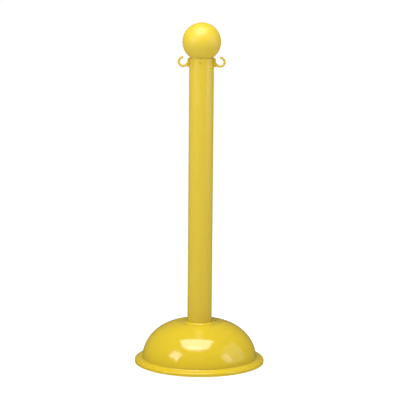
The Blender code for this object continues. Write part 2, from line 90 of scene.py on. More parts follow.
def add_node(tree: bpy.types.NodeTree, kind: str, inputs: dict | None = None,
             **settings) -> bpy.types.Node:
    """Add a node to a tree, with its settings and links.

    Args:
        tree: the shader or geometry tree.
        kind: the node's type.
        inputs: what each input, by name or number, takes: a value or another node's output.
        **settings: properties of the node.

    Returns:
        The new node.
    """
    node = tree.nodes.new(kind)
    for key, value in settings.items():
        setattr(node, key, value)
    feed(node, inputs or {})
    return node


def arc(centre: Point, radius: float, start: float, end: float, count: int) -> list[Point]:
    """Give points on an arc in the XZ plane.

    Args:
        centre: its centre, as x and z.
        radius: its radius.
        start: first angle in degrees, 0 at +X and 90 at +Z.
        end: last angle in degrees.
        count: how many steps lie between them.

    Returns:
        The points, in order.
    """
    turns = [math.radians(start + (end - start) * i / count) for i in range(count + 1)]
    return [(centre[0] + radius * math.cos(t), centre[1] + radius * math.sin(t)) for t in turns]


def run(start: Point, end: Point, count: int) -> list[Point]:
    """Give evenly spaced points of a straight stretch, both ends among them."""
    return [(start[0] + (end[0] - start[0]) * i / count, start[1] + (end[1] - start[1]) * i / count)
            for i in range(count + 1)]


# ---- Finishes -----------------------------------------------------------------------------
def start_finish(name: str) -> tuple[bpy.types.Material, bpy.types.Node, bpy.types.NodeSocket]:
    """Start a finish.

    Args:
        name: the material's name.

    Returns:
        The material, its shader, and the object coordinates that its patterns lie on.
    """
    made = bpy.data.materials.new(name)
    made.use_nodes = True
    place = add_node(made.node_tree, "ShaderNodeTexCoord").outputs["Object"]
    return made, made.node_tree.nodes["Principled BSDF"], place


class Lay(Enum):
    """Which way a surface's fine texture runs."""

    ALL_ROUND = (1.0, 1.0, 1.0)
    UPRIGHT = (1.0, 1.0, 0.02)


@dataclass(frozen=True)
class Polyethylene:
    """High-density polyethylene, coloured right through.

    It is slightly translucent and waxy, so its colour shifts a little with wall thickness, its
    gloss is soft, and its skin shows the fine ripple of the mould or die.
    """

    name: str
    colour: str
    thin_colour: str
    roughness: float
    roughness_spread: float
    ripple_mm: float
    ripple_height_mm: float
    lay: Lay = Lay.ALL_ROUND
    cloud_mm: float = 70.0
    wear_mm: float = 9.0
    seam_mm: float = 0.0
    seam_axis: int = 1
    seam_ridge: float = 2.5
    translucency: float = 0.25
    glow_depth_mm: float = 5.0

    def material(self) -> bpy.types.Material:
        """Build the material.

        Returns:
            The material.
        """
        made, shader, place = start_finish(self.name)
        tree = made.node_tree
        clouds = add_node(tree, "ShaderNodeTexNoise",
                          {"Vector": place, "Scale": 1 / (self.cloud_mm * MM), "Detail": 3.0})
        tint = add_node(tree, "ShaderNodeMix",
                        {0: clouds.outputs["Fac"], 6: linear(self.colour), 7: linear(self.thin_colour)},
                        data_type="RGBA")
        stretch = add_node(tree, "ShaderNodeMapping", {"Vector": place, "Scale": self.lay.value})
        ripple = add_node(tree, "ShaderNodeTexNoise", {
            "Vector": stretch.outputs["Vector"], "Scale": 1 / (self.ripple_mm * MM), "Detail": 2.0})
        sheen = add_node(tree, "ShaderNodeTexNoise", {
            "Vector": stretch.outputs["Vector"], "Scale": 1 / (self.wear_mm * MM), "Detail": 4.0})
        rough = add_node(tree, "ShaderNodeMapRange", {
            "Value": sheen.outputs["Fac"], "From Min": 0.3, "From Max": 0.7,
            "To Min": self.roughness - self.roughness_spread,
            "To Max": self.roughness + self.roughness_spread})
        height = ripple.outputs["Fac"]
        if self.seam_mm:
            height = self.with_seam(tree, place, height)
        bump = add_node(tree, "ShaderNodeBump", {
            "Height": height, "Distance": self.ripple_height_mm * MM, "Strength": 1.0})
        feed(shader, {
            "Base Color": tint.outputs[2], "Roughness": rough.outputs["Result"],
            "Normal": bump.outputs["Normal"], "IOR": 1.52, "Subsurface Weight": self.translucency,
            "Subsurface Radius": (1.0, 0.6, 0.1), "Subsurface Scale": self.glow_depth_mm * MM})
        return made

    def with_seam(self, tree: bpy.types.NodeTree, place: bpy.types.NodeSocket,
                  height: bpy.types.NodeSocket) -> bpy.types.NodeSocket:
        """Add the fine raised line where two mould halves met.

        Args:
            tree: the material's node tree.
            place: object coordinates.
            height: the height that the seam is added to.

        Returns:
            The summed height.
        """
        across = add_node(tree, "ShaderNodeSeparateXYZ", {0: place}).outputs[self.seam_axis]
        away = add_node(tree, "ShaderNodeMath", {0: across}, operation="ABSOLUTE")
        ridge = add_node(tree, "ShaderNodeMapRange", {
            "Value": away.outputs[0], "From Min": 0.0, "From Max": self.seam_mm * MM,
            "To Min": self.seam_ridge, "To Max": 0.0}, interpolation_type="SMOOTHSTEP")
        total = add_node(tree, "ShaderNodeMath", {0: height, 1: ridge.outputs["Result"]}, operation="ADD")
        return total.outputs[0]


@dataclass(frozen=True)
class Rubber:
    """Moulded black nitrile rubber: almost no gloss, with a fine grain and a dusty bloom."""

    name: str = "moulded nitrile rubber"
    colour: str = "#1A1A19"
    bloom: str = "#2C2B29"
    bloom_mm: float = 25.0
    grain_mm: float = 0.8
    grain_height_mm: float = 0.05

    def material(self) -> bpy.types.Material:
        """Build the material.

        Returns:
            The material.
        """
        made, shader, place = start_finish(self.name)
        tree = made.node_tree
        grain = add_node(tree, "ShaderNodeTexNoise", {"Vector": place, "Scale": 1 / (self.grain_mm * MM)})
        dust = add_node(tree, "ShaderNodeTexNoise",
                        {"Vector": place, "Scale": 1 / (self.bloom_mm * MM), "Detail": 5.0})
        tint = add_node(tree, "ShaderNodeMix",
                        {0: dust.outputs["Fac"], 6: linear(self.colour), 7: linear(self.bloom)},
                        data_type="RGBA")
        bump = add_node(tree, "ShaderNodeBump",
                        {"Height": grain.outputs["Fac"], "Distance": self.grain_height_mm * MM})
        feed(shader, {"Base Color": tint.outputs[2], "Normal": bump.outputs["Normal"], "Roughness": 0.72})
        return made


@dataclass(frozen=True)
class ZincPlate:
    """Zinc-plated steel: a cool grey metal with the faint spangle and brush of bright plating."""

    name: str = "zinc-plated steel"
    light: str = "#C9CBC8"
    dark: str = "#A5A8A6"
    spangle_mm: float = 0.7

    def material(self) -> bpy.types.Material:
        """Build the material.

        Returns:
            The material.
        """
        made, shader, place = start_finish(self.name)
        tree = made.node_tree
        cells = add_node(tree, "ShaderNodeTexVoronoi",
                         {"Vector": place, "Scale": 1 / (self.spangle_mm * MM)})
        tone = add_node(tree, "ShaderNodeMix",
                        {0: cells.outputs["Distance"], 6: linear(self.light), 7: linear(self.dark)},
                        data_type="RGBA")
        rough = add_node(tree, "ShaderNodeMapRange", {
            "Value": cells.outputs["Distance"], "To Min": 0.28, "To Max": 0.42})
        feed(shader, {
            "Base Color": tone.outputs[2], "Roughness": rough.outputs["Result"], "Metallic": 1.0})
        return made


@dataclass(frozen=True)
class PackedSand:
    """Damp packed sand: matt, with grains of several browns a little under a millimetre across."""

    name: str = "packed sand"
    pale: str = "#C2A878"
    brown: str = "#7E6540"
    grain_mm: float = 0.9
    grain_height_mm: float = 0.4

    def material(self) -> bpy.types.Material:
        """Build the material.

        Returns:
            The material.
        """
        made, shader, place = start_finish(self.name)
        tree = made.node_tree
        grains = add_node(tree, "ShaderNodeTexVoronoi",
                          {"Vector": place, "Scale": 1 / (self.grain_mm * MM)})
        tone = add_node(tree, "ShaderNodeSeparateXYZ", {0: grains.outputs["Color"]})
        tint = add_node(tree, "ShaderNodeMix",
                        {0: tone.outputs[0], 6: linear(self.pale), 7: linear(self.brown)},
                        data_type="RGBA")
        bump = add_node(tree, "ShaderNodeBump",
                        {"Height": grains.outputs["Distance"], "Distance": self.grain_height_mm * MM})
        feed(shader, {"Base Color": tint.outputs[2], "Normal": bump.outputs["Normal"], "Roughness": 0.95})
        return made


# Blown against a sand-blasted mould: satin, so the lights melt into one broad glow, and a fine
# parting line runs over it.
BALL_PLASTIC = Polyethylene(
    "blow-moulded HDPE, ball", "#D2B62C", "#D1B832", 0.42, 0.03, 2.6, 0.035, seam_mm=0.5)
# Drawn through a die: long upright streaks and a soft shine that runs the post's whole length.
TUBE_PLASTIC = Polyethylene(
    "extruded HDPE, post", "#CFB42E", "#CDB436", 0.30, 0.03, 1.8, 0.02, lay=Lay.UPRIGHT, cloud_mm=160.0)
# Pressed on a polished mould: the glossiest piece, where each light shows as a clear patch.
BASE_PLASTIC = Polyethylene(
    "moulded HDPE, base", "#CEB224", "#CCB22C", 0.13, 0.015, 5.0, 0.008, cloud_mm=110.0)
# Solid and thin, from a fine-textured mould: a deeper yellow, satin, with a hair of flash down
# the middle.
HOOK_PLASTIC = Polyethylene(
    "injection-moulded HDPE, hook", "#D0AE02", "#CFB004", 0.42, 0.03, 1.2, 0.008, cloud_mm=14.0,
    seam_mm=0.18, translucency=0.08)
# Never on show, from a plain mould: duller, with a coarser skin.
PLATE_PLASTIC = Polyethylene(
    "moulded HDPE, plate", "#CAAE28", "#C8AE30", 0.40, 0.04, 1.4, 0.03, cloud_mm=90.0)


# ---- Geometry trees -----------------------------------------------------------------------
class GeometryTree:
    """A Geometry Nodes tree that runs once on a mesh and gives back a plain mesh."""

    def __init__(self, name: str, inputs: dict[str, str]) -> None:
        """Make the empty tree.

        Args:
            name: the tree's name.
            inputs: the socket type of each named input after the geometry.
        """
        self.tree = bpy.data.node_groups.new(name, "GeometryNodeTree")
        face = self.tree.interface
        face.new_socket("Geometry", in_out="INPUT", socket_type="NodeSocketGeometry")
        face.new_socket("Geometry", in_out="OUTPUT", socket_type="NodeSocketGeometry")
        for label, kind in inputs.items():
            face.new_socket(label, in_out="INPUT", socket_type=kind)
        self.given = add_node(self.tree, "NodeGroupInput").outputs

    def add(self, kind: str, inputs: dict | None = None, **settings) -> bpy.types.Node:
        """Add a node to this tree."""
        return add_node(self.tree, kind, inputs, **settings)

    def close(self, result: bpy.types.NodeSocket) -> None:
        """End the tree with real geometry in its finish.

        Args:
            result: the geometry that the tree has made.
        """
        smooth = self.add("GeometryNodeSetShadeSmooth", {"Geometry": result})
        real = self.add("GeometryNodeRealizeInstances", {"Geometry": smooth.outputs["Geometry"]})
        dressed = self.add("GeometryNodeSetMaterial", {
            "Geometry": real.outputs["Geometry"], "Material": self.given["Finish"]})
        self.add("NodeGroupOutput", {"Geometry": dressed.outputs["Geometry"]})

    def apply(self, mesh: bpy.types.Mesh, values: dict) -> bpy.types.Mesh:
        """Run the tree on a mesh.

        Args:
            mesh: the geometry that goes in. It is removed afterwards.
            values: a value for each named input.

        Returns:
            The finished mesh.
        """
        holder = bpy.data.objects.new("holder", mesh)
        bpy.context.scene.collection.objects.link(holder)
        modifier = holder.modifiers.new("Nodes", "NODES")
        modifier.node_group = self.tree
        for item in self.tree.interface.items_tree:
            if item.in_out == "INPUT" and item.name in values:
                modifier[item.identifier] = values[item.name]
        made = settle(holder)
        bpy.data.meshes.remove(mesh)
        return made


def settle(item: bpy.types.Object) -> bpy.types.Mesh:
    """Give an object's shape, modifiers included, as a plain mesh in world space.

    Args:
        item: the object. It is removed afterwards.

    Returns:
        The mesh.
    """
    bpy.context.view_layer.update()
    graph = bpy.context.evaluated_depsgraph_get()
    made = bpy.data.meshes.new_from_object(item.evaluated_get(graph))
    made.transform(item.matrix_world)
    bpy.data.objects.remove(item, do_unlink=True)
    return made


class Lathe(GeometryTree):
    """Turns a profile round the Z axis: row by row, each profile point is placed at every angle."""

    def __init__(self) -> None:
        """Build the tree."""
        super().__init__("turn profile", {"Steps": "NodeSocketInt", "Finish": "NodeSocketMaterial"})
        profile = self.given["Geometry"]
        size = self.add("GeometryNodeAttributeDomainSize", {"Geometry": profile}, component="MESH")
        place = self.add("GeometryNodeInputPosition").outputs["Position"]
        sample = self.add("GeometryNodeSampleIndex", {"Geometry": profile, "Value": place},
                          data_type="FLOAT_VECTOR", domain="POINT")
        spot = self.add("ShaderNodeSeparateXYZ", {0: sample.outputs["Value"]})
        known = {"steps": self.given["Steps"], "rows": size.outputs["Point Count"],
                 "index": self.add("GeometryNodeInputIndex").outputs["Index"],
                 "radius": spot.outputs["X"]}
        # Each point of the grid has a row, its profile point, and a column, its angle.
        for name, operation, *terms in (
                ("columns", "ADD", "steps", 1.0),
                ("middle", "ADD", "index", 0.5), ("columns so far", "DIVIDE", "middle", "rows"),
                ("column", "FLOOR", "columns so far"), ("points before", "MULTIPLY", "column", "rows"),
                ("row", "SUBTRACT", "index", "points before"),
                ("step", "DIVIDE", math.tau, "steps"), ("angle", "MULTIPLY", "column", "step"),
                ("cosine", "COSINE", "angle"), ("x", "MULTIPLY", "radius", "cosine"),
                ("sine", "SINE", "angle"), ("y", "MULTIPLY", "radius", "sine")):
            inputs = {i: known.get(term, term) for i, term in enumerate(terms)}
            known[name] = self.add("ShaderNodeMath", inputs, operation=operation).outputs[0]
        feed(sample, {"Index": known["row"]})
        grid = self.add("GeometryNodeMeshGrid", {
            "Vertices X": known["columns"], "Vertices Y": known["rows"]})
        turned = self.add("ShaderNodeCombineXYZ", {
            "X": known["x"], "Y": known["y"], "Z": spot.outputs["Z"]})
        shaped = self.add("GeometryNodeSetPosition", {
            "Geometry": grid.outputs["Mesh"], "Position": turned.outputs["Vector"]})
        joined = self.add("GeometryNodeMergeByDistance", {
            "Geometry": shaped.outputs["Geometry"], "Distance": WELD})
        self.close(joined.outputs["Geometry"])

    def turn(self, profile: list[Point], finish: bpy.types.Material, steps: int) -> bpy.types.Mesh:
        """Turn a profile that runs down its outer side.

        Args:
            profile: points (x, z). It starts and ends on the axis, or ends where it starts.
            finish: the material.
            steps: facets round the axis.

        Returns:
            A closed mesh.
        """
        return outward(self.apply(edge_line("profile", profile), {"Steps": steps, "Finish": finish}))


class WireSweep(GeometryTree):
    """Sweeps a round wire along a path, thicker or thinner by the path's own swell values."""

    def __init__(self) -> None:
        """Build the tree."""
        super().__init__("sweep wire", {
            "Wire Radius": "NodeSocketFloat", "Sides": "NodeSocketInt", "Finish": "NodeSocketMaterial"})
        path = self.add("GeometryNodeMeshToCurve", {"Mesh": self.given["Geometry"]})
        swell = self.add("GeometryNodeInputNamedAttribute", {"Name": "swell"}, data_type="FLOAT")
        sized = self.add("GeometryNodeSetCurveRadius", {
            "Curve": path.outputs["Curve"], "Radius": swell.outputs["Attribute"]})
        section = self.add("GeometryNodeCurvePrimitiveCircle", {
            "Resolution": self.given["Sides"], "Radius": self.given["Wire Radius"]})
        wire = self.add("GeometryNodeCurveToMesh", {
            "Curve": sized.outputs["Curve"], "Profile Curve": section.outputs["Curve"],
            "Fill Caps": True})
        welded = self.add("GeometryNodeMergeByDistance", {
            "Geometry": wire.outputs["Mesh"], "Distance": WELD})
        self.close(welded.outputs["Geometry"])

    def sweep(self, path: list[Point], swell: list[float], radius: float,
              finish: bpy.types.Material) -> bpy.types.Mesh:
        """Sweep the wire along a path in the XZ plane.

        Args:
            path: points (x, z).
            swell: wire thickness at each point, as a factor.
            radius: the wire's radius.
            finish: the material.

        Returns:
            A closed mesh.
        """
        line = edge_line("path", path)
        line.attributes.new("swell", "FLOAT", "POINT").data.foreach_set("value", swell)
        return outward(self.apply(line, {"Wire Radius": radius, "Sides": 24, "Finish": finish}))


class RingOf(GeometryTree):
    """Repeats a piece at even steps on a circle round the Z axis, starting half a step from +X.

    Each copy is turned on itself from the one before, so that screws do not all stop at one angle.
    """

    spin = math.radians(137.5)

    def __init__(self) -> None:
        """Build the tree."""
        super().__init__("ring of", {
            "Count": "NodeSocketInt", "Circle Radius": "NodeSocketFloat", "Finish": "NodeSocketMaterial"})
        circle = self.add("GeometryNodeMeshCircle", {
            "Vertices": self.given["Count"], "Radius": self.given["Circle Radius"]})
        half_step = self.add("ShaderNodeMath", {0: math.pi, 1: self.given["Count"]}, operation="DIVIDE")
        turn = self.add("ShaderNodeCombineXYZ", {"Z": half_step.outputs[0]})
        turned = self.add("GeometryNodeTransform", {
            "Geometry": circle.outputs["Mesh"], "Rotation": turn.outputs["Vector"]})
        index = self.add("GeometryNodeInputIndex").outputs["Index"]
        spin = self.add("ShaderNodeMath", {0: index, 1: self.spin}, operation="MULTIPLY")
        facing = self.add("ShaderNodeCombineXYZ", {"Z": spin.outputs[0]})
        copies = self.add("GeometryNodeInstanceOnPoints", {
            "Points": turned.outputs["Geometry"], "Instance": self.given["Geometry"],
            "Rotation": facing.outputs["Vector"]})
        self.close(copies.outputs["Instances"])

    def repeat(self, mesh: bpy.types.Mesh, count: int, radius: float,
               finish: bpy.types.Material) -> bpy.types.Mesh:
        """Place copies of a mesh on a circle.

        Args:
            mesh: the piece, at the origin. It is removed afterwards.
            count: how many copies.
            radius: the circle's radius.
            finish: the material.

        Returns:
            One mesh with all the copies.
        """
        return self.apply(mesh, {"Count": count, "Circle Radius": radius, "Finish": finish})


def edge_line(name: str, points: list[Point]) -> bpy.types.Mesh:
    """Join points in the XZ plane with edges, for a tree to work on.

    Args:
        name: the mesh's name.
        points: the points (x, z).

    Returns:
        A mesh of edges.
    """
    line = bpy.data.meshes.new(name)
    line.from_pydata([(x, 0.0, z) for x, z in points], [(i, i + 1) for i in range(len(points) - 1)], [])
    return line


def block(size: tuple[float, float, float], place: Matrix) -> bpy.types.Mesh:
    """Make a box to cut with.

    Args:
        size: its sides.
        place: where its middle goes and how it is turned.

    Returns:
        The box, in place.
    """
    body = bmesh.new()
    bmesh.ops.create_cube(body, size=1.0, matrix=place @ Matrix.Diagonal((*size, 1.0)))
    return as_mesh(body, "block")


def as_mesh(body: bmesh.types.BMesh, name: str) -> bpy.types.Mesh:
    """Turn a bmesh into a mesh.

    Args:
        body: the bmesh. It is freed afterwards.
        name: the mesh's name.

    Returns:
        The mesh.
    """
    made = bpy.data.meshes.new(name)
    body.to_mesh(made)
    body.free()
    return made


def outward(mesh: bpy.types.Mesh) -> bpy.types.Mesh:
    """Turn a closed mesh's faces outwards and mark its sharp edges.

    Args:
        mesh: the mesh.

    Returns:
        The same mesh.
    """
    body = bmesh.new()
    body.from_mesh(mesh)
    bmesh.ops.dissolve_degenerate(body, dist=WELD, edges=body.edges)
    bmesh.ops.recalc_face_normals(body, faces=body.faces)
    if body.calc_volume(signed=True) < 0:
        bmesh.ops.reverse_faces(body, faces=body.faces)
    body.to_mesh(mesh)
    body.free()
    mesh.shade_smooth()
    mesh.set_sharp_from_angle(angle=SMOOTH_BELOW)
    return mesh


def carve(mesh: bpy.types.Mesh, tool: bpy.types.Mesh, operation: str = "DIFFERENCE") -> bpy.types.Mesh:
    """Cut or join a closed mesh with another.

    Args:
        mesh: the piece. It is removed afterwards.
        tool: the other mesh. It is removed afterwards.
        operation: DIFFERENCE, UNION or INTERSECT.

    Returns:
        The result, as one mesh.
    """
    piece = bpy.data.objects.new("piece", mesh)
    cutter = bpy.data.objects.new("cutter", tool)
    for item in (piece, cutter):
        bpy.context.scene.collection.objects.link(item)
    modifier = piece.modifiers.new("Carve", "BOOLEAN")
    modifier.operation = operation
    modifier.solver = "EXACT"
    modifier.object = cutter
    made = settle(piece)
    bpy.data.objects.remove(cutter, do_unlink=True)
    bpy.data.meshes.remove(mesh)
    bpy.data.meshes.remove(tool)
    return outward(made)


def place_piece(name: str, mesh: bpy.types.Mesh, body: str, slot: str, *nodes: str) -> bpy.types.Object:
    """Put a finished mesh into the scene in place of its CAD nodes.

    Args:
        name: the piece's name.
        mesh: its mesh, in place.
        body: the body that it moves with.
        slot: the record's material slot; not used.
        *nodes: the CAD nodes that it stands for.

    Returns:
        The new object.
    """
    piece = bpy.data.objects.new(name, mesh)
    mesh.name = name
    bpy.context.scene.collection.objects.link(piece)
    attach(piece, body)
    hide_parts(*nodes)
    LOG.info("%s: %d faces, rides on %s", name, len(mesh.polygons), body)
    return piece


# ---- Ball and post ------------------------------------------------------------------------
@dataclass
class BallTop:
    """Blow-moulded hollow ball, with a neck that plugs into the post and a narrower guide tail."""

    lathe: Lathe
    wall: float = 2.8 * MM
    neck_gap: float = 0.3 * MM
    post_wall: float = 3.5 * MM
    shoulder: float = 5.5 * MM
    shoulder_inset: float = 1.2 * MM
    band: float = 10.0 * MM
    edge: float = 1.0 * MM
    steps: int = 176

    def profile(self) -> list[Point]:
        """Work out the section, from the crown down the outside and back up the inside.

        Returns:
            The points (x, z), from axis to axis.
        """
        low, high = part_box("ball_top")
        post_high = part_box("post_tube")[1]
        radius = high.x
        centre = high.z - radius
        seat_z = post_high.z + self.shoulder
        shoulder = post_high.x - self.shoulder_inset
        rest_z = post_high.z + self.neck_gap
        neck = post_high.x - self.post_wall - self.neck_gap
        band_end = post_high.z - self.band
        tail = self.tail_radius()
        seat = math.degrees(math.asin((seat_z - centre) / radius))
        inner = radius - self.wall
        floor = math.degrees(math.asin((seat_z + self.wall - centre) / inner))
        bore = tail - self.wall
        points = arc((0.0, centre), radius, 90, seat + 1.2, 84)
        rim = points[-1]
        points += arc((rim[0] - 0.9 * self.edge, seat_z + 0.8 * self.edge), 0.8 * self.edge, -35, -90, 5)
        points += arc((shoulder + 0.6 * self.edge, seat_z - 0.6 * self.edge), 0.6 * self.edge, 90, 180, 5)
        points += arc((shoulder - 0.4 * self.edge, rest_z + 0.4 * self.edge), 0.4 * self.edge, 0, -90, 4)
        points += [(neck + 0.2 * self.edge, rest_z), (neck, rest_z - 0.2 * self.edge)]
        points += run((neck, rest_z - self.edge), (neck, band_end + self.edge), 4)
        points += arc((neck - self.edge, band_end + self.edge), self.edge, 0, -90, 6)
        points += arc((tail + self.edge, band_end - self.edge), self.edge, 90, 180, 6)
        points += run((tail, band_end - 2 * self.edge), (tail, low.z + self.edge / 2), 8)
        points += arc((tail - self.edge / 2, low.z + self.edge / 2), self.edge / 2, -10, -90, 4)
        points += arc((bore + self.edge / 2, low.z + self.edge / 2), self.edge / 2, -90, -180, 4)
        points += run((bore, low.z + self.edge), (bore, band_end + self.wall - self.edge), 6)
        points += [(bore + self.edge, band_end + self.wall),
                   (neck - self.wall, band_end + self.wall + self.edge)]
        points += [(neck - self.wall, seat_z + self.wall - self.edge),
                   (neck - self.wall + self.edge, seat_z + self.wall)]
        points += arc((0.0, centre), inner, floor, 90, 56)
        points[0] = (0.0, centre + radius)
        points[-1] = (0.0, centre + inner)
        return points

    def tail_radius(self) -> float:
        """Read the tail's radius off the CAD node, as the widest point at its lowest level.

        Returns:
            The radius.
        """
        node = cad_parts["ball_top"]
        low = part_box("ball_top")[0].z
        return max(v.co.x for v in node.data.vertices if v.co.z < low + 0.1 * MM)

    def build(self) -> None:
        """Make the ball and put it in place."""
        mesh = self.lathe.turn(self.profile(), BALL_PLASTIC.material(), self.steps)
        place_piece("ball_shell", mesh, "ball", "moulded_yellow", "ball_top")


@dataclass
class PostTube:
    """Straight extruded tube with two deburred hook holes and two blind spare ones near its top."""

    lathe: Lathe
    wall: float = 3.5 * MM
    edge: float = 0.8 * MM
    hole_radius: float = 3.2 * MM
    hole_drop: float = 15.0 * MM
    spare_depth: float = 1.6 * MM
    deburr: float = 0.35 * MM
    steps: int = 176

    def profile(self) -> list[Point]:
        """Work out the section: down the outside, round the lower edge and up the bore.

        Returns:
            The points (x, z), back to the first.
        """
        low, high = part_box("post_tube")
        radius = high.x
        bore = radius - self.wall
        hole = high.z - self.hole_drop
        clear = 3 * self.hole_radius
        points = arc((bore + self.edge / 2, high.z - self.edge / 2), self.edge / 2, 180, 90, 4)
        points += arc((radius - self.edge, high.z - self.edge), self.edge, 90, 0, 6)
        outer = [hole + clear, hole - clear] + [
            hole - clear - (hole - clear - low.z - 2 * self.edge) * i / 18 for i in range(1, 19)]
        points += [(radius, z) for z in outer if z < high.z - 2 * self.edge]
        points += arc((radius - self.edge, low.z + self.edge), self.edge, 0, -90, 6)
        points += arc((bore + self.edge / 2, low.z + self.edge / 2), self.edge / 2, -90, -180, 4)
        points += [(bore, z) for z in reversed(outer) if z < high.z - 2 * self.edge]
        points.append(points[0])
        return points

    def drill(self, finish: bpy.types.Material, turn: float, reach: float) -> bpy.types.Mesh:
        """Make the tool for one hole, flared where it enters the tube.

        Args:
            finish: the material.
            turn: the hole's direction round the post.
            reach: how far from the axis the hole ends.

        Returns:
            The tool's mesh, in place.
        """
        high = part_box("post_tube")[1]
        end = high.x * 1.3
        wide = self.hole_radius + end - high.x + self.deburr
        section = [(0.0, end), (wide, end), (self.hole_radius, high.x - self.deburr),
                   (self.hole_radius, reach + self.deburr), (self.hole_radius - self.deburr, reach),
                   (0.0, reach)]
        tool = self.lathe.turn(section, finish, 40)
        tool.transform(Matrix.Translation((0.0, 0.0, high.z - self.hole_drop))
                       @ Matrix.Rotation(turn, 4, "Z") @ Matrix.Rotation(math.pi / 2, 4, "Y"))
        return tool

    def build(self) -> None:
        """Make the tube, drill it and put it in place."""
        finish = TUBE_PLASTIC.material()
        mesh = self.lathe.turn(self.profile(), finish, self.steps)
        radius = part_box("post_tube")[1].x
        through, blind = radius - 2 * self.wall, radius - self.spare_depth
        for quarter in range(4):
            reach = blind if quarter % 2 else through
            mesh = carve(mesh, self.drill(finish, quarter * math.pi / 2, reach))
        place_piece("post_shell", mesh, "post", "post_yellow", "post_tube")


